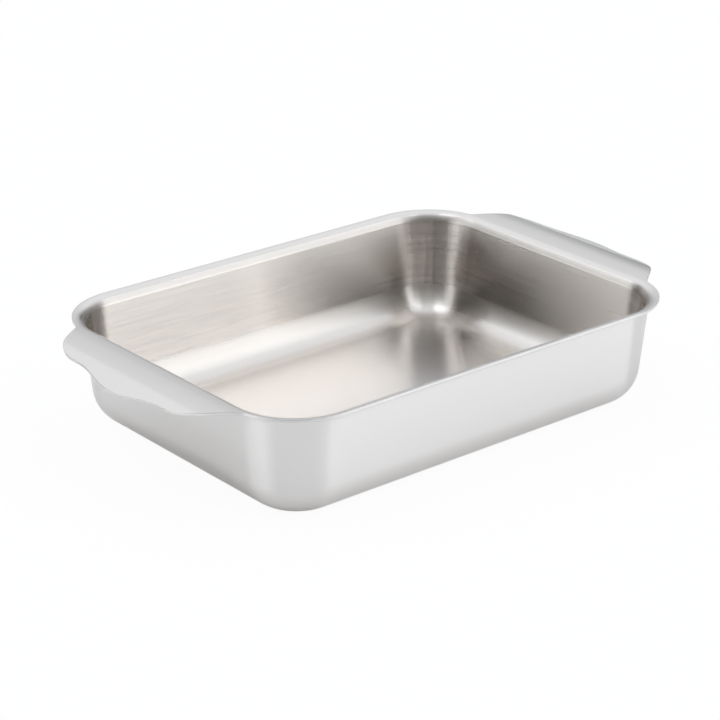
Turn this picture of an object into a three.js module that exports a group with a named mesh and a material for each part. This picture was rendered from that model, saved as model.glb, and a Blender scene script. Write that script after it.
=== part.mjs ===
// Deep oven pan, pressed from one blank of clad sheet: a steel lining and a steel shell on an aluminium core.
// The rim flares out level all round and runs on, at each end, into a broad hand grip with a drooping lip.
// Millimetres, +Z up. The origin is the middle of the base, where the pan stands, and the grips lie along X.
import * as THREE from "three";

// Clad sheet, from the inside of the pan to the outside
const LINING_THICKNESS = 0.4;
const CORE_THICKNESS = 1.16;
const SHELL_THICKNESS = 0.4;
const BOND_GAP = 0.02; // bond line between two layers

// Basin: bends and heights are those of the inside face of the sheet
const RIM_LENGTH = 350; // cut edge to cut edge, without the grips
const RIM_WIDTH = 260;
const RIM_HEIGHT = 76.5; // top of the rim above the table
const RIM_LAND = 0.6; // level strip between the rim's bend and the cut edge
const RIM_BEND_RADIUS = 8.4;
const WALL_DRAFT = THREE.MathUtils.degToRad(5.6); // lean of the walls, outwards from the floor up
const FLOOR_BEND_RADIUS = 24;
const FLOOR_CORNER_RADIUS = 12.5; // in plan, where the level floor ends

// Hand grips
const GRIP_REACH = 29.3; // from the rim's end to the grip's straight edge
const GRIP_SET_IN = 80; // from the pan's long side to the end of that straight edge
const GRIP_LOBE_RADIUS = 36; // round shoulder of the grip, in plan
const GRIP_SIDE_TURN = THREE.MathUtils.degToRad(54); // turn from the straight edge to the slanted side
const GRIP_NOTCH_RADIUS = 9; // hollow between the slanted side and the rim's corner
const GRIP_SWELL = 7; // how far the grip's middle stands out beyond its straight edge
const GRIP_SWELL_WIDTH = 88;
const GRIP_LEVEL = 18.2; // level run from the rim's end to the lip's bend
const LIP_BEND_RADIUS = 20;
const LIP_DROOP = THREE.MathUtils.degToRad(18.3);

// Steps in the round stretches
const CORNER_STEPS = 9;
const FLOOR_BEND_STEPS = 5;
const RIM_BEND_STEPS = 4;
const SWELL_STEPS = 8;
const LOBE_STEPS = 6;
const NOTCH_STEPS = 3;
const LIP_BEND_STEPS = 3;

const SHEET = LINING_THICKNESS + CORE_THICKNESS + SHELL_THICKNESS + 2 * BOND_GAP;

// Section through a wall: insets are measured inwards from the rim's cut edge, in plan
const wallTilt = Math.PI / 2 - WALL_DRAFT; // turn of the sheet from the rim down into the wall
const wallTop = RIM_LAND + RIM_BEND_RADIUS * Math.tan(wallTilt / 2); // inset where wall and rim lines meet
const floorBendHeight = SHEET + FLOOR_BEND_RADIUS;
const floorBendInset = wallTop
  + (RIM_HEIGHT - floorBendHeight) * Math.tan(WALL_DRAFT)
  + FLOOR_BEND_RADIUS / Math.cos(WALL_DRAFT);
const rimBendHeight = RIM_HEIGHT - RIM_BEND_RADIUS;

// The rim's corner is concentric with the floor's
const cornerRadius = FLOOR_CORNER_RADIUS + floorBendInset;
const corner = new THREE.Vector2(RIM_LENGTH / 2 - cornerRadius, RIM_WIDTH / 2 - cornerRadius);

// The sheet's section from the floor to the rim, at a depth below its inside face: [inset, height] pairs
function wallSection(depth) {
  const section = [];
  for (let step = 0; step <= FLOOR_BEND_STEPS; step++) {
    const tilt = (wallTilt * step) / FLOOR_BEND_STEPS;
    const radius = FLOOR_BEND_RADIUS + depth;
    section.push([floorBendInset - radius * Math.sin(tilt), floorBendHeight - radius * Math.cos(tilt)]);
  }
  for (let step = RIM_BEND_STEPS; step >= 0; step--) {
    const tilt = (wallTilt * step) / RIM_BEND_STEPS;
    const radius = RIM_BEND_RADIUS - depth;
    section.push([RIM_LAND + radius * Math.sin(tilt), rimBendHeight + radius * Math.cos(tilt)]);
  }
  return section;
}

// Outline of one half of a grip, from its middle to the notch beside the rim's corner
const gripEdge = RIM_LENGTH / 2 + GRIP_REACH;
const lobeStart = RIM_WIDTH / 2 - GRIP_SET_IN;
const lobe = new THREE.Vector2(gripEdge - GRIP_LOBE_RADIUS, lobeStart);
const sideNormal = new THREE.Vector2(Math.cos(GRIP_SIDE_TURN), Math.sin(GRIP_SIDE_TURN));
const sideOffset = lobe.dot(sideNormal) + GRIP_LOBE_RADIUS; // of the slanted side's line, along its normal
const notch = notchCentre();
const notchTurn = Math.max(0, Math.atan2(notch.y - corner.y, notch.x - corner.x)); // where it meets the rim

// Centre of the notch's arc, which touches the slanted side and the rim's corner, or the rim's straight end
function notchCentre() {
  const reach = cornerRadius + GRIP_NOTCH_RADIUS;
  const across = sideOffset + GRIP_NOTCH_RADIUS - corner.dot(sideNormal);
  const turn = GRIP_SIDE_TURN - Math.acos(across / reach);
  if (turn >= 0) return new THREE.Vector2(Math.cos(turn), Math.sin(turn)).multiplyScalar(reach).add(corner);
  const x = RIM_LENGTH / 2 + GRIP_NOTCH_RADIUS;
  return new THREE.Vector2(x, (sideOffset + GRIP_NOTCH_RADIUS - x * sideNormal.x) / sideNormal.y);
}

const notchStart = notch.y - GRIP_NOTCH_RADIUS * Math.sin(GRIP_SIDE_TURN);
const notchEnd = notch.y - GRIP_NOTCH_RADIUS * Math.sin(notchTurn);
const lobeEnd = lobe.y + GRIP_LOBE_RADIUS * Math.sin(GRIP_SIDE_TURN);

// How far out the grip's cut edge lies at a distance from the grip's middle
function gripOutline(y) {
  const swellShare = Math.min(1, y / (GRIP_SWELL_WIDTH / 2));
  const swell = (GRIP_SWELL * (1 + Math.cos(Math.PI * swellShare))) / 2;
  if (y <= lobeStart) return gripEdge + swell;
  if (y <= lobeEnd) return lobe.x + Math.sqrt(GRIP_LOBE_RADIUS ** 2 - (y - lobe.y) ** 2) + swell;
  if (y <= notchStart) return (sideOffset - y * sideNormal.y) / sideNormal.x + swell;
  return notch.x - Math.sqrt(GRIP_NOTCH_RADIUS ** 2 - (y - notch.y) ** 2) + swell;
}

// A place on the rim's plan curve: the point, its outward normal and the turn of that normal from +X
function rimPlace(turn, point) {
  const out = new THREE.Vector2(Math.cos(turn), Math.sin(turn));
  return { at: point ?? out.clone().multiplyScalar(cornerRadius).add(corner), out, turn };
}

// The rim's place on the same line along X as a point of the grip's edge
function rimPlaceBeside(y) {
  if (y <= corner.y) return rimPlace(0, new THREE.Vector2(RIM_LENGTH / 2, y));
  return rimPlace(Math.asin((y - corner.y) / (cornerRadius - RIM_LAND)));
}

// Stations round one quarter of the sheet, from the middle of a grip to the middle of a long side.
// Each holds its place on the rim and its point on the cut edge; the basin needs only those round its corner.
function quarterStations() {
  const across = [];
  for (let step = 0; step <= SWELL_STEPS; step++) across.push((lobeStart * step) / SWELL_STEPS);
  for (let step = 1; step <= LOBE_STEPS; step++) {
    across.push(lobe.y + GRIP_LOBE_RADIUS * Math.sin((GRIP_SIDE_TURN * step) / LOBE_STEPS));
  }
  for (let step = 0; step <= NOTCH_STEPS; step++) {
    const turn = THREE.MathUtils.lerp(GRIP_SIDE_TURN, notchTurn, step / NOTCH_STEPS);
    across.push(notch.y - GRIP_NOTCH_RADIUS * Math.sin(turn));
  }
  const stations = across.map((y) => ({ ...rimPlaceBeside(y), edge: new THREE.Vector2(gripOutline(y), y) }));
  for (let step = 0; step <= CORNER_STEPS; step++) {
    const place = rimPlace((Math.PI * step) / 2 / CORNER_STEPS);
    const y = place.at.y - RIM_LAND * place.out.y;
    const edge = y < notchEnd ? new THREE.Vector2(gripOutline(y), y) : place.at;
    stations.push({ ...place, edge, basin: true });
  }
  const sideMiddle = rimPlace(Math.PI / 2, new THREE.Vector2(0, RIM_WIDTH / 2));
  stations.push({ ...sideMiddle, edge: sideMiddle.at });
  return stations.sort((a, b) => a.turn - b.turn || a.at.y - b.at.y || b.at.x - a.at.x);
}

// The whole way round, counter-clockwise from the middle of the grip on +X
function allStations() {
  const quarter = quarterStations();
  const last = quarter.length - 1;
  const mirrored = (station, x, y) => ({
    ...station,
    at: new THREE.Vector2(station.at.x * x, station.at.y * y),
    out: new THREE.Vector2(station.out.x * x, station.out.y * y),
    edge: new THREE.Vector2(station.edge.x * x, station.edge.y * y),
  });
  const backwards = quarter.slice().reverse();
  return [
    ...quarter,
    ...backwards.slice(1).map((station) => mirrored(station, -1, 1)),
    ...quarter.slice(1).map((station) => mirrored(station, -1, -1)),
    ...backwards.slice(1, last).map((station) => mirrored(station, 1, -1)),
  ].map((station, order) => ({ ...station, order }));
}

const stations = allStations();
const basinStations = stations.filter((station) => station.basin);

// A point of the level rim or of a grip, given in plan on the inside face, at a depth below that face
function gripPoint(plan, depth) {
  const beyond = Math.abs(plan.x) - RIM_LENGTH / 2 - GRIP_LEVEL;
  const bendRun = LIP_BEND_RADIUS * Math.sin(LIP_DROOP);
  const tilt = beyond <= 0 ? 0 : Math.asin(Math.min(beyond, bendRun) / LIP_BEND_RADIUS);
  const drop = LIP_BEND_RADIUS * (1 - Math.cos(tilt)) + Math.max(0, beyond - bendRun) * Math.tan(LIP_DROOP);
  const x = Math.abs(plan.x) - depth * Math.sin(tilt);
  return new THREE.Vector3(Math.sign(plan.x) * x, plan.y, RIM_HEIGHT - drop - depth * Math.cos(tilt));
}

// One face of a layer as rings of points from the floor's edge out to the cut edge
function faceRings(depth) {
  const section = wallSection(depth);
  const rings = section.map(([inset, height], index) => {
    const used = index < section.length - 1 ? basinStations : stations;
    return used.map(({ at, out, order }) => ({
      order,
      point: new THREE.Vector3(at.x - inset * out.x, at.y - inset * out.y, height),
    }));
  });
  for (let step = 0; step <= LIP_BEND_STEPS; step++) {
    const bendLine = RIM_LENGTH / 2 + GRIP_LEVEL
      + LIP_BEND_RADIUS * Math.sin((LIP_DROOP * step) / LIP_BEND_STEPS);
    rings.push(stations.map(({ edge, order }) => {
      const x = Math.sign(edge.x) * Math.min(Math.abs(edge.x), bendLine);
      return { order, point: gripPoint(new THREE.Vector2(x, edge.y), depth) };
    }));
  }
  rings.push(stations.map(({ edge, order }) => ({ order, point: gripPoint(edge, depth) })));
  return rings;
}

// Triangles of a surface, dropping those that a bend line's end has closed up
class Surface {
  constructor() {
    this.corners = [];
  }

  triangle(a, b, c) {
    if (a.equals(b) || b.equals(c) || c.equals(a)) return;
    this.corners.push(a, b, c);
  }

  // Closes the strip between an inner and an outer ring, whose points go round in the same order
  strip(inner, outer) {
    let i = 0;
    let j = 0;
    const turns = (ring, index) => Math.floor(index / ring.length);
    const orderAt = (ring, index) => ring[index % ring.length].order + stations.length * turns(ring, index);
    const pointAt = (ring, index) => ring[index % ring.length].point;
    while (i < inner.length || j < outer.length) {
      const innerNext = i < inner.length ? orderAt(inner, i + 1) : Infinity;
      const outerNext = j < outer.length ? orderAt(outer, j + 1) : Infinity;
      if (outerNext <= innerNext) {
        this.triangle(pointAt(inner, i), pointAt(outer, j), pointAt(outer, j + 1));
        j++;
      } else {
        this.triangle(pointAt(inner, i), pointAt(outer, j), pointAt(inner, i + 1));
        i++;
      }
    }
  }

  // Fills a level ring from its middle
  fill(ring) {
    const middle = new THREE.Vector3(0, 0, ring[0].point.z);
    ring.forEach(({ point }, index) => this.triangle(middle, point, ring[(index + 1) % ring.length].point));
  }

  face(rings) {
    this.fill(rings[0]);
    rings.slice(1).forEach((ring, index) => this.strip(rings[index], ring));
    return this;
  }

  turnedOver() {
    for (let i = 0; i < this.corners.length; i += 3) {
      [this.corners[i + 1], this.corners[i + 2]] = [this.corners[i + 2], this.corners[i + 1]];
    }
    return this;
  }

  toGeometry() {
    const geometry = new THREE.BufferGeometry().setFromPoints(this.corners);
    geometry.computeVertexNormals();
    return geometry;
  }
}

// A layer of the sheet between two depths below the inside face, closed along the cut edge
function layerGeometry(top, bottom) {
  const upper = faceRings(top);
  const lower = faceRings(bottom);
  const solid = new Surface().face(lower).turnedOver().face(upper);
  solid.strip(upper.at(-1), lower.at(-1));
  return solid.toGeometry();
}

function layer(name, top, thickness, look) {
  const mesh = new THREE.Mesh(layerGeometry(top, top + thickness), new THREE.MeshStandardMaterial(look));
  mesh.name = name;
  return mesh;
}

const brushedSteel = { color: 0xd2d0cb, roughness: 0.32, metalness: 1 };
const satinSteel = { color: 0xcbcac8, roughness: 0.4, metalness: 1 };
const aluminium = { color: 0xb9bcc0, roughness: 0.5, metalness: 1 };

const coreTop = LINING_THICKNESS + BOND_GAP;
const shellTop = coreTop + CORE_THICKNESS + BOND_GAP;

const pan = new THREE.Group();
pan.add(layer("lining", 0, LINING_THICKNESS, brushedSteel));
pan.add(layer("heat_core", coreTop, CORE_THICKNESS, aluminium));
pan.add(layer("shell", shellTop, SHELL_THICKNESS, satinSteel));

export default pan;
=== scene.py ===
import math

import bmesh
import bpy
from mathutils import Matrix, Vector


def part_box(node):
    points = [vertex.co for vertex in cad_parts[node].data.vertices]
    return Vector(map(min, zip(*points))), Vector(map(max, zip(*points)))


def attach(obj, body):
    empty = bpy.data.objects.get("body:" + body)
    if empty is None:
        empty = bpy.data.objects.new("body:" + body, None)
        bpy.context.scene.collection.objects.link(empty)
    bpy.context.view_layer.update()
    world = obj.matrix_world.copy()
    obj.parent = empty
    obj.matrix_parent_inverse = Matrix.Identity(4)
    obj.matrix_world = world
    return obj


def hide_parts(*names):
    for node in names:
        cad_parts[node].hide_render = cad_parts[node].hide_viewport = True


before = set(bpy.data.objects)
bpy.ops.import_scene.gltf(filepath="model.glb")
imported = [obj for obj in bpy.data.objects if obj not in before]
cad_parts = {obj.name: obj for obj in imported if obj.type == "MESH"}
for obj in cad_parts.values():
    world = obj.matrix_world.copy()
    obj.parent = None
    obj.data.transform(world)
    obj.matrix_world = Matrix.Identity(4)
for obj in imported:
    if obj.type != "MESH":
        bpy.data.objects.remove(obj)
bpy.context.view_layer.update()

# The pressed sheet
# The pan is one clad sheet, pressed to a basin with a narrow, slightly rolled rim and a grip at each end
# whose lip is turned down. The inside face is shaped here once, and each bonded layer is made from a copy.
lining_low, lining_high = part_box("lining")
sheet_thickness = 0.002
rim_height = lining_high.z
rim_half_width = lining_high.y
rim_half_length = 0.175
rim_land = 0.0012
rim_lean = math.radians(4)
rim_roll_radius = 0.012
rim_roll_turn = math.radians(18.5)
rim_bend_radius = 0.0069
wall_tilt = math.radians(84.4)
floor_bend_radius = 0.024
floor_corner_radius = 0.0125
floor_edge = 0.006
corner_segments = 47
rim_roll_segments = 6
rim_bend_segments = 14
floor_bend_segments = 18


def pick(kind, test):
    """Selects the points, edges or faces of the mesh in edit mode that pass the test, and nothing else."""
    bpy.ops.mesh.select_mode(type={"verts": "VERT", "edges": "EDGE", "faces": "FACE"}[kind])
    bpy.ops.mesh.select_all(action="DESELECT")
    mesh = bmesh.from_edit_mesh(bpy.context.edit_object.data)
    for part in getattr(mesh, kind):
        part.select = test(part)
    mesh.select_flush_mode()
    bmesh.update_edit_mesh(bpy.context.edit_object.data)


floor_bend_height = sheet_thickness + floor_bend_radius
rim_roll_inset = rim_land - rim_roll_radius * math.sin(rim_lean)
rim_roll_height = rim_height - rim_land * math.tan(rim_lean) - rim_roll_radius * math.cos(rim_lean)
rim_bend_inset = rim_roll_inset + (rim_roll_radius - rim_bend_radius) * math.sin(rim_roll_turn)
rim_bend_height = rim_roll_height + (rim_roll_radius - rim_bend_radius) * math.cos(rim_roll_turn)
wall_top_inset = rim_bend_inset + rim_bend_radius * math.sin(wall_tilt)
wall_top = rim_bend_height + rim_bend_radius * math.cos(wall_tilt)
wall_foot = floor_bend_height - floor_bend_radius * math.cos(wall_tilt)
wall_foot_inset = wall_top_inset + (wall_top - wall_foot) / math.tan(wall_tilt)
floor_bend_inset = wall_foot_inset + floor_bend_radius * math.sin(wall_tilt)
corner_radius = floor_bend_inset + floor_corner_radius

# From the rim down to the floor, the section is a list of places: how far in from the rim, and how high.
section = [(0, rim_height)]
for step in range(rim_roll_segments):
    turn = rim_lean + (rim_roll_turn - rim_lean) * step / rim_roll_segments
    inset = rim_roll_inset + rim_roll_radius * math.sin(turn)
    section.append((inset, rim_roll_height + rim_roll_radius * math.cos(turn)))
for step in range(rim_bend_segments + 1):
    turn = rim_roll_turn + (wall_tilt - rim_roll_turn) * step / rim_bend_segments
    inset = rim_bend_inset + rim_bend_radius * math.sin(turn)
    section.append((inset, rim_bend_height + rim_bend_radius * math.cos(turn)))
for step in range(floor_bend_segments + 1):
    turn = wall_tilt * (1 - step / floor_bend_segments)
    inset = floor_bend_inset - floor_bend_radius * math.sin(turn)
    section.append((inset, floor_bend_height - floor_bend_radius * math.cos(turn)))
section.append((floor_bend_inset + floor_edge, sheet_thickness))

bpy.ops.object.select_all(action="DESELECT")
bpy.ops.mesh.primitive_plane_add(size=2, location=(0, 0, rim_height))
bpy.ops.object.transform_apply(location=True)
sheet = bpy.context.object
bpy.ops.object.mode_set(mode="EDIT")
bpy.ops.transform.resize(value=(rim_half_length, rim_half_width, 1), center_override=(0, 0, 0))
bpy.ops.mesh.bevel(offset=corner_radius, segments=corner_segments, affect="VERTICES")
bpy.ops.mesh.select_mode(type="FACE")
bpy.ops.mesh.select_all(action="SELECT")
for (outer, above), (inner, below) in zip(section, section[1:]):
    bpy.ops.mesh.inset(thickness=inner - outer, depth=below - above)

grip_reach = 0.0293
grip_set_in = 0.080
grip_lobe_radius = 0.036
grip_side_turn = math.radians(54)
grip_notch_radius = 0.009
grip_swell = lining_high.x - rim_half_length - grip_reach
grip_swell_half_width = 0.044
lip_start = 0.0202
lip_lean = math.radians(4)
lip_bend_radius = 0.010
lip_droop = math.radians(17.3)
lobe_segments = 26
notch_segments = 10
swell_segments = 60
crown_segments = 10
lip_bend_segments = 10
weld_distance = 0.0001

grip_edge = rim_half_length + grip_reach
lobe_centre = Vector((grip_edge - grip_lobe_radius, rim_half_width - grip_set_in, rim_height))
corner_centre = Vector((rim_half_length - corner_radius, rim_half_width - corner_radius, rim_height))
side_way = Vector((math.cos(grip_side_turn), math.sin(grip_side_turn), 0))
notch_across = (lobe_centre - corner_centre).dot(side_way) + grip_lobe_radius + grip_notch_radius
notch_turn = grip_side_turn - math.acos(notch_across / (corner_radius + grip_notch_radius))
notch_way = Vector((math.cos(notch_turn), math.sin(notch_turn), 0))
notch_centre = corner_centre + (corner_radius + grip_notch_radius) * notch_way
notch_root = corner_centre + corner_radius * notch_way
side_start = notch_centre - grip_notch_radius * side_way
side_end = lobe_centre + grip_lobe_radius * side_way


def swell(across):
    """How far the grip's outer edge stands out, at a distance across from the grip's middle line."""
    if abs(across) > grip_swell_half_width:
        return 0
    return grip_swell * (1 + math.cos(math.pi * across / grip_swell_half_width)) / 2


def draw_line(end, start, stop):
    """Extrudes the selected point along a straight line, on the grip at one end of the pan."""
    bpy.ops.mesh.extrude_vertices_move(TRANSFORM_OT_translate={"value": end * (stop - start)})


def draw_arc(end, centre, turn, segments):
    """Spins the selected point about a centre, anticlockwise as seen from above."""
    place = (end * centre.x, end * centre.y, centre.z)
    bpy.ops.mesh.spin(steps=segments, angle=turn, center=place, axis=(0, 0, -1))


def press_grip(end):
    """Draws one grip's outline out from the rim, fills it, and bends its lip down; end is 1 or -1."""
    root = Vector((end * notch_root.x, end * notch_root.y, rim_height))
    far_side = Vector((1, -1, 1))
    pick("verts", lambda point: (point.co - root).length < weld_distance)
    draw_arc(end, notch_centre, grip_side_turn - notch_turn, notch_segments)
    draw_line(end, side_start, side_end)
    draw_arc(end, lobe_centre, -grip_side_turn, lobe_segments)
    for step in range(swell_segments):
        across = [lobe_centre.y * (1 - 2 * k / swell_segments) for k in (step, step + 1)]
        draw_line(end, *[Vector((swell(y), y, 0)) for y in across])
    draw_arc(end, lobe_centre * far_side, -grip_side_turn, lobe_segments)
    draw_line(end, side_end * far_side, side_start * far_side)
    draw_arc(end, notch_centre * far_side, grip_side_turn - notch_turn, notch_segments)
    bpy.ops.mesh.select_all(action="SELECT")
    bpy.ops.mesh.remove_doubles(threshold=weld_distance)

    def on_outline(edge):
        """The new line round the grip, and the stretch of the rim's edge that it closes with."""
        beside_rim = all(end * point.co.x > corner_centre.x for point in edge.verts)
        within = max(abs(point.co.y) for point in edge.verts) < notch_root.y + weld_distance
        return edge.is_wire or (edge.is_boundary and beside_rim and within)

    def beside_grip(face):
        """The new face of the grip, and the rim's land that it runs into."""
        middle = face.calc_center_median()
        level = all(rim_height - point.co.z < weld_distance for point in face.verts)
        return level and end * middle.x > corner_centre.x and abs(middle.y) < notch_root.y

    pick("edges", on_outline)
    bpy.ops.mesh.edge_face_add()
    pick("faces", beside_grip)
    bpy.ops.mesh.dissolve_faces()

    # The lip is stretched first, so that the grip keeps its outline as seen from above once it is bent down.
    bend_turn = lip_droop - lip_lean
    bend_length = lip_bend_radius * bend_turn
    stretched = bend_turn / (math.sin(lip_droop) - math.sin(lip_lean))
    lip_stretched = 1 / math.cos(lip_droop) / stretched
    for place, factor in ((lip_start, stretched), (lip_start + bend_length, lip_stretched)):
        across = end * (rim_half_length + place)
        pick("verts", lambda point: end * point.co.x > end * across)
        bpy.ops.transform.resize(value=(factor, 1, 1), center_override=(across, 0, rim_height))

    # Each line across the grip has a distance from the rim, and the slope of the strip past it.
    lines = []
    for line in range(crown_segments):
        slope = -rim_lean + (rim_lean + lip_lean) * (line + 0.5) / crown_segments
        lines.append((lip_start * line / crown_segments, slope))
    for line in range(lip_bend_segments):
        slope = lip_lean + bend_turn * (line + 0.5) / lip_bend_segments
        lines.append((lip_start + bend_length * line / lip_bend_segments, slope))
    lines.append((lip_start + bend_length, lip_droop))
    for distance, slope in lines:
        pick("faces", lambda face: end * face.calc_center_median().x > rim_half_length)
        cut = (end * (rim_half_length + distance), 0, rim_height)
        bpy.ops.mesh.bisect(plane_co=cut, plane_no=(1, 0, 0))
    hinge = Vector((rim_half_length, 0, rim_height))
    reached, turn = 0, 0
    for distance, slope in lines:
        hinge += (distance - reached) * Vector((math.cos(turn), 0, -math.sin(turn)))
        pick("verts", lambda point: end * point.co.x > hinge.x + weld_distance)
        pivot = (end * hinge.x, 0, hinge.z)
        bpy.ops.transform.rotate(value=-end * (slope - turn), orient_axis="Y", center_override=pivot)
        reached, turn = distance, slope


press_grip(1)
press_grip(-1)
bpy.ops.mesh.select_all(action="SELECT")
bpy.ops.mesh.normals_make_consistent(inside=False)
bpy.ops.object.mode_set(mode="OBJECT")

# The lining
# The inside of the pan and the top of its rim and grips: thin stainless steel, bonded to the core before the
# pan is pressed. It is brushed along the walls and lengthwise on the flats, and is rougher where it was
# bent.
# Its walls are painted darker than its flats, as painted shade, and the rim's bend darker still, as painted
# shade that dims the highlight mirrored there.
# Painted shade and light: the standing walls get a darker colour than the flats, deepening the shade
# mirrored in the walls, and the flats a lighter one.
lining_shaded_wall_colour = Vector((0.706, 0.662, 0.618))
lining_lit_flat_colour = Vector((0.742, 0.703, 0.676))
lining_wall_roughness = 0.25
lining_flat_roughness = 0.18
lining_bend_roughness = 0.1
lining_rim_roughness = 0.05
# Painted shade: the share by which the rim bend's colour is darkened, to dim the highlight it mirrors.
lining_rim_painted_shade = 0.12
lining_streaks = 0.1
lining_line_depth = 0.00005
brushed_one_way = 1
edge_round = 0.0003
edge_round_segments = 3
smooth_angle = math.radians(40)


def bond_layer(name, node, rounded=None):
    """Thickens a copy of the pressed sheet to one bonded layer, with its upper or lower cut edge rounded."""
    low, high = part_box(node)
    upper_depth = rim_height - high.z
    lower_depth = sheet_thickness - low.z
    bpy.ops.object.select_all(action="DESELECT")
    sheet.select_set(True)
    bpy.context.view_layer.objects.active = sheet
    bpy.ops.object.duplicate()
    piece = bpy.context.object
    piece.name = name
    piece.data.name = name
    bpy.ops.object.mode_set(mode="EDIT")
    bpy.ops.mesh.select_all(action="SELECT")
    bpy.ops.transform.shrink_fatten(value=-upper_depth, use_even_offset=True)
    bpy.ops.object.mode_set(mode="OBJECT")
    upper_points = len(piece.data.vertices)
    thicken = piece.modifiers.new("thickness", "SOLIDIFY")
    thicken.thickness = lower_depth - upper_depth
    thicken.offset = -1
    thicken.use_even_offset = True
    bpy.ops.object.modifier_apply(modifier=thicken.name)
    if rounded:
        bpy.ops.object.mode_set(mode="EDIT")

        def on_cut_edge(edge):
            """The edge on the rounded side of the layer, between its face and the cut."""
            one_side = all((point.index < upper_points) == (rounded == "upper") for point in edge.verts)
            sides = [{point.index < upper_points for point in face.verts} for face in edge.link_faces]
            return one_side and {True, False} in sides

        pick("edges", on_cut_edge)
        bpy.ops.mesh.bevel(offset=edge_round, segments=edge_round_segments, affect="EDGES")
        bpy.ops.object.mode_set(mode="OBJECT")
    bpy.ops.object.shade_smooth_by_angle(angle=smooth_angle)
    even = piece.modifiers.new("even_shading", "WEIGHTED_NORMAL")
    even.keep_sharp = True
    bpy.ops.object.modifier_apply(modifier=even.name)
    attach(piece, "root")
    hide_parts(node)
    return piece


def add_node(tree, kind, inputs, **settings):
    """Adds a node with its settings, and sets each input to a value or links it to another node's output."""
    made = tree.nodes.new(kind)
    for setting, value in settings.items():
        setattr(made, setting, value)
    for socket, value in inputs.items():
        if isinstance(value, bpy.types.NodeSocket):
            tree.links.new(value, made.inputs[socket])
        else:
            made.inputs[socket].default_value = value
    return made


def worked_out(tree, operation, *terms):
    """A sum, product or other result of values and other nodes' outputs."""
    return add_node(tree, "ShaderNodeMath", dict(enumerate(terms)), operation=operation).outputs["Value"]


def vector_worked_out(tree, operation, *terms):
    """The same of vectors."""
    made = add_node(tree, "ShaderNodeVectorMath", dict(enumerate(terms)), operation=operation)
    return made.outputs["Vector"]


def ramp(tree, value, start, stop, low=0, high=1, **settings):
    """A result that goes from low to high as a value goes from start to stop, and stays there beyond."""
    ends = {"Value": value, "From Min": start, "From Max": stop, "To Min": low, "To Max": high}
    return add_node(tree, "ShaderNodeMapRange", ends, **settings).outputs["Result"]


def mixed(tree, factor, one, other):
    """One value turning into another by a factor."""
    return add_node(tree, "ShaderNodeMix", {"Factor": factor, "A": one, "B": other}).outputs["Result"]


# How level the surface is runs from 0 on a standing wall to 1 on a flat.
level_start = 0.5
level_end = 0.95
wall_end = 0.12
bend_start = 0.35
bend_end = 0.65
flat_start = 0.9
noise_middle = 0.5
line_detail = 3
ripple_detail = 1


def brush_marks():
    """A node group for the marks of brushing: level lines on the walls, lengthwise lines on the flats.

    Its outputs are the lines, the slow ripples that pressing leaves, how level the surface is, and how far
    it lies in a bend and in the rim's bend, where the press stretched the skin of the sheet. The materials
    make the bends rougher with the last two, and paint shade on the rim's bend with the last.
    """
    group = bpy.data.node_groups.new("brush_marks", "ShaderNodeTree")
    for socket in ("Line Length", "Line Width", "Line Share Off Walls", "Ripple Length", "Rim Foot"):
        group.interface.new_socket(socket, in_out="INPUT", socket_type="NodeSocketFloat")
    for socket in ("Lines", "Ripples", "Level", "Bend", "Rim"):
        group.interface.new_socket(socket, in_out="OUTPUT", socket_type="NodeSocketFloat")
    given = add_node(group, "NodeGroupInput", {}).outputs
    place = add_node(group, "ShaderNodeTexCoord", {}).outputs["Object"]
    facing = add_node(group, "ShaderNodeNewGeometry", {}).outputs["Normal"]
    upward = add_node(group, "ShaderNodeSeparateXYZ", {"Vector": facing}).outputs["Z"]
    flatness = worked_out(group, "ABSOLUTE", upward)
    level = ramp(group, flatness, level_start, level_end)
    off_wall = ramp(group, flatness, wall_end, bend_start)
    off_flat = ramp(group, flatness, flat_start, bend_end)
    bent = worked_out(group, "MULTIPLY", off_wall, off_flat)
    height = add_node(group, "ShaderNodeSeparateXYZ", {"Vector": place}).outputs["Z"]
    raised = worked_out(group, "GREATER_THAN", height, given["Rim Foot"])
    rim = worked_out(group, "MULTIPLY", raised, bent)
    along, across = given["Line Length"], given["Line Width"]

    def lines(stretch):
        """Noise drawn out by a length along each axis."""
        size = add_node(group, "ShaderNodeCombineXYZ", stretch).outputs["Vector"]
        scaled = vector_worked_out(group, "DIVIDE", place, size)
        drawn_out = {"Vector": scaled, "Scale": 1, "Detail": line_detail}
        return add_node(group, "ShaderNodeTexNoise", drawn_out).outputs["Fac"]

    on_walls = lines({"X": along, "Y": along, "Z": across})
    on_flats = lines({"X": along, "Y": across, "Z": along})
    marks = mixed(group, level, on_walls, on_flats)
    marks = worked_out(group, "SUBTRACT", marks, noise_middle)
    strength = mixed(group, off_wall, 1, given["Line Share Off Walls"])
    marks = worked_out(group, "MULTIPLY", marks, strength)
    often = worked_out(group, "DIVIDE", 1, given["Ripple Length"])
    waves = {"Vector": place, "Scale": often, "Detail": ripple_detail}
    waves = add_node(group, "ShaderNodeTexNoise", waves).outputs["Fac"]
    results = {"Lines": marks, "Ripples": waves, "Level": level, "Bend": bent, "Rim": rim}
    add_node(group, "NodeGroupOutput", results)
    return group


brushing = brush_marks()
brush_sizes = {
    "Line Length": 0.06,
    "Line Width": 0.0025,
    "Line Share Off Walls": 0.06,
    "Ripple Length": 0.03,
    "Rim Foot": 0.05,
}
line_swing = 0.2
ripple_depth = 0.00004
brush_lean = 0.05


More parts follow.
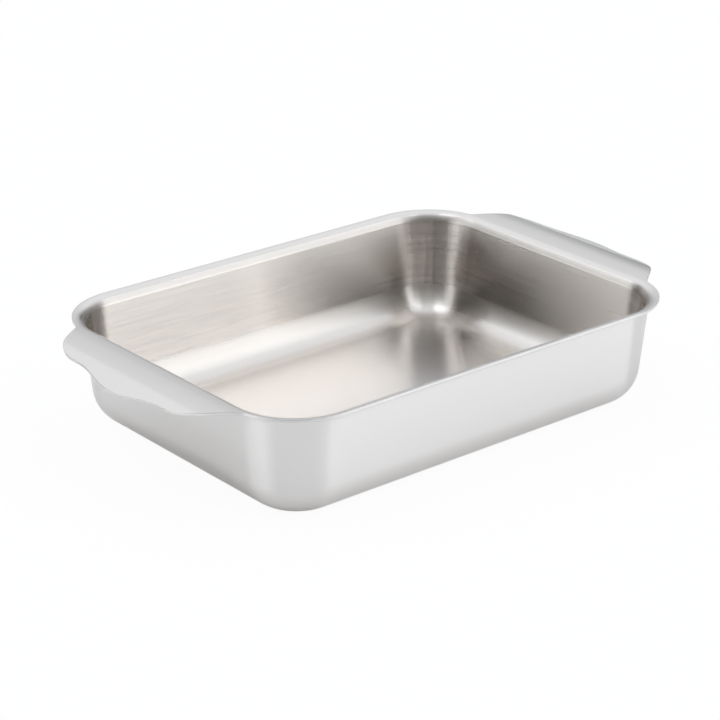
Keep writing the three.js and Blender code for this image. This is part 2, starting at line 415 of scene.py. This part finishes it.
def brushed_metal(
    name,
    wall_colour,
    flat_colour,
    wall_roughness,
    flat_roughness,
    bend_roughness=0,
    rim_roughness=0,
    rim_painted_shade=0,
    anisotropic=0,
    streaks=0,
    line_depth=0,
):
    """A metal brushed along the walls, so that it blurs what it mirrors up and down more than sideways."""
    material = bpy.data.materials.new(name)
    material.use_nodes = True
    tree = material.node_tree
    shader = tree.nodes["Principled BSDF"]
    shader.inputs["Metallic"].default_value = 1
    shader.inputs["Anisotropic"].default_value = anisotropic
    marks = add_node(tree, "ShaderNodeGroup", brush_sizes, node_tree=brushing).outputs
    shade = ramp(tree, marks["Lines"], -line_swing, line_swing, 1 - streaks, 1 + streaks)
    # Painted shade: the colour of the rim's bend is darkened, dimming the highlight that it mirrors.
    rim_shade = worked_out(tree, "MULTIPLY_ADD", marks["Rim"], -rim_painted_shade, 1)
    shade = worked_out(tree, "MULTIPLY", shade, rim_shade)
    # On the lining, the walls' darker colour is painted shade and the flats' lighter colour is painted
    # light.
    colour = vector_worked_out(tree, "MULTIPLY_ADD", flat_colour - wall_colour, marks["Level"], wall_colour)
    tone = add_node(tree, "ShaderNodeVectorMath", {"Vector": colour, "Scale": shade}, operation="SCALE")
    finish = ramp(tree, marks["Level"], 0, 1, wall_roughness, flat_roughness)
    finish = worked_out(tree, "MULTIPLY_ADD", marks["Bend"], bend_roughness, finish)
    finish = worked_out(tree, "MULTIPLY_ADD", marks["Rim"], rim_roughness, finish)
    uneven = ramp(tree, marks["Lines"], -line_swing, line_swing, 1 + streaks, 1 - streaks)
    roughness = worked_out(tree, "MULTIPLY", finish, uneven)
    rippled = add_node(tree, "ShaderNodeBump", {"Height": marks["Ripples"], "Distance": ripple_depth})
    lined = {"Height": marks["Lines"], "Distance": line_depth, "Normal": rippled.outputs["Normal"]}
    surface = add_node(tree, "ShaderNodeBump", lined)
    upward = add_node(tree, "ShaderNodeCombineXYZ", {"Y": brush_lean, "Z": 1})
    tree.links.new(tone.outputs["Vector"], shader.inputs["Base Color"])
    tree.links.new(roughness, shader.inputs["Roughness"])
    tree.links.new(surface.outputs["Normal"], shader.inputs["Normal"])
    tree.links.new(upward.outputs["Vector"], shader.inputs["Tangent"])
    return material


lining = bond_layer("pan_lining", "lining", rounded="upper")
lining_steel = brushed_metal(
    "brushed_lining",
    lining_shaded_wall_colour,
    lining_lit_flat_colour,
    lining_wall_roughness,
    lining_flat_roughness,
    bend_roughness=lining_bend_roughness,
    rim_roughness=lining_rim_roughness,
    rim_painted_shade=lining_rim_painted_shade,
    anisotropic=brushed_one_way,
    streaks=lining_streaks,
    line_depth=lining_line_depth,
)
lining.data.materials.append(lining_steel)

# The heat core
# The middle layer, a sheet of aluminium that spreads the heat. It shows only as the duller line in the
# middle of the cut edge, all round the rim and the grips.
core_colour = Vector((0.8, 0.78, 0.76))
core_roughness = 0.4
core_streaks = 0.1
core = bond_layer("pan_heat_core", "heat_core")
core_metal = brushed_metal(
    "cut_aluminium",
    core_colour,
    core_colour,
    core_roughness,
    core_roughness,
    streaks=core_streaks,
)
core.data.materials.append(core_metal)

# The shell
# The outside of the pan: a thin sheet of stainless steel with a fine satin finish, bonded under the core.
# Its base is flat and stands on the oven rack or the table.
shell_colour = Vector((0.81, 0.777, 0.75))
shell_roughness = 0.26
shell_streaks = 0.006
shell = bond_layer("pan_shell", "shell", rounded="lower")
shell_steel = brushed_metal(
    "satin_shell",
    shell_colour,
    shell_colour,
    shell_roughness,
    shell_roughness,
    anisotropic=brushed_one_way,
    streaks=shell_streaks,
)
shell.data.materials.append(shell_steel)
bpy.data.objects.remove(sheet)

# The studio
# A plain white floor in an evenly pale room, with soft lit panels at the right and the left. It is dark in
# front and dim low down behind, which gives the steel its depth. The camera looks down from the front left.
floor_size = 12
floor_albedo = 0.9
floor_seen_white = 0.95
floor_mirrored_white = 0.1
light_tint = (0.957, 1, 1.043)
room_level = 1.06

bpy.ops.object.select_all(action="DESELECT")
bpy.ops.mesh.primitive_plane_add(size=floor_size)
floor = bpy.context.object
floor.name = "floor"
floor_white = bpy.data.materials.new("floor_white")
floor_white.use_nodes = True
tree = floor_white.node_tree
tree.nodes.remove(tree.nodes["Principled BSDF"])
matt = add_node(tree, "ShaderNodeBsdfDiffuse", {"Color": (floor_albedo, floor_albedo, floor_albedo, 1)})
backdrop = add_node(tree, "ShaderNodeEmission", {"Color": (1, 1, 1, 1)})
ray = add_node(tree, "ShaderNodeLightPath", {}).outputs
seen = worked_out(tree, "MULTIPLY", ray["Is Camera Ray"], floor_seen_white)
mirrored = worked_out(tree, "MULTIPLY_ADD", ray["Is Glossy Ray"], floor_mirrored_white, seen)
paper = {"Fac": mirrored, 1: matt.outputs["BSDF"], 2: backdrop.outputs["Emission"]}
paper = add_node(tree, "ShaderNodeMixShader", paper)
tree.links.new(paper.outputs["Shader"], tree.nodes["Material Output"].inputs["Surface"])
floor.data.materials.append(floor_white)


def direction(azimuth, elevation):
    """The direction from the pan at an angle to the right of its front, and an angle up."""
    level = math.cos(elevation)
    return Vector((math.sin(azimuth) * level, -math.cos(azimuth) * level, math.sin(elevation)))


scene = bpy.context.scene
scene.view_settings.view_transform = "Standard"
world = bpy.data.worlds.new("studio")
world.use_nodes = True
tree = world.node_tree
room = tree.nodes["Background"]
room.inputs["Color"].default_value = (*light_tint, 1)
way = add_node(tree, "ShaderNodeTexCoord", {}).outputs["Generated"]
height = add_node(tree, "ShaderNodeSeparateXYZ", {"Vector": way}).outputs["Z"]
level_way = vector_worked_out(tree, "MULTIPLY", way, (1, 1, 0))
heading = vector_worked_out(tree, "NORMALIZE", level_way)


def panel(light, azimuth, half_width, soft_sides, top, soft_top, level):
    """The room's light with one more soft-edged panel, which stands on the floor. Angles are in degrees."""
    ahead = {0: heading, 1: direction(math.radians(azimuth), 0)}
    ahead = add_node(tree, "ShaderNodeVectorMath", ahead, operation="DOT_PRODUCT").outputs["Value"]
    outer, inner = (math.cos(math.radians(half_width + turn)) for turn in (soft_sides / 2, -soft_sides / 2))
    above, below = (math.sin(math.radians(top + turn)) for turn in (soft_top / 2, -soft_top / 2))
    between = ramp(tree, ahead, outer, inner, interpolation_type="SMOOTHSTEP")
    under = ramp(tree, height, above, below, interpolation_type="SMOOTHSTEP")
    covered = worked_out(tree, "MULTIPLY", between, under)
    return mixed(tree, covered, light, level)


light = room_level
light = panel(light, azimuth=-109, half_width=38, soft_sides=27, top=82, soft_top=10, level=2.47)
light = panel(light, azimuth=7, half_width=14, soft_sides=5, top=66, soft_top=7, level=2.35)
light = panel(light, azimuth=128, half_width=82, soft_sides=19, top=17, soft_top=44, level=0.33)
light = panel(light, azimuth=58, half_width=73, soft_sides=8, top=15.3, soft_top=34, level=0)
light = panel(light, azimuth=-91, half_width=37, soft_sides=15, top=57, soft_top=4, level=0)
light = panel(light, azimuth=-33, half_width=39, soft_sides=22, top=46, soft_top=5, level=0)
light = panel(light, azimuth=-153, half_width=16.5, soft_sides=10, top=33, soft_top=5, level=0)
light = panel(light, azimuth=-100, half_width=15, soft_sides=18, top=41.5, soft_top=7, level=1.35)
light = panel(light, azimuth=-118, half_width=25, soft_sides=8.5, top=15.7, soft_top=3, level=3)
light = panel(light, azimuth=36, half_width=16.5, soft_sides=14, top=36, soft_top=24, level=3)
tree.links.new(light, room.inputs["Strength"])
white = add_node(tree, "ShaderNodeBackground", {"Color": (1, 1, 1, 1)})
ray = add_node(tree, "ShaderNodeLightPath", {}).outputs
backdrop = {"Fac": ray["Is Camera Ray"], 1: room.outputs["Background"], 2: white.outputs["Background"]}
backdrop = add_node(tree, "ShaderNodeMixShader", backdrop)
tree.links.new(backdrop.outputs["Shader"], tree.nodes["World Output"].inputs["Surface"])
scene.world = world

image_size = 720
sensor_width = 36
focal_pixels = 2360.53
camera_azimuth = math.radians(-39.603)
camera_elevation = math.radians(22.828)
camera_distance = 1.617926
camera_aside = -0.0058
camera_raised = 0.0321139
back_way = direction(camera_azimuth, camera_elevation)
right_way = Vector((math.cos(camera_azimuth), math.sin(camera_azimuth), 0))
up_way = back_way.cross(right_way)
bpy.ops.object.camera_add(
    location=camera_distance * back_way + camera_aside * right_way + camera_raised * up_way,
    rotation=(math.pi / 2 - camera_elevation, 0, camera_azimuth),
)
camera = bpy.context.object
camera.data.sensor_width = sensor_width
camera.data.lens = sensor_width * focal_pixels / image_size
scene.camera = camera
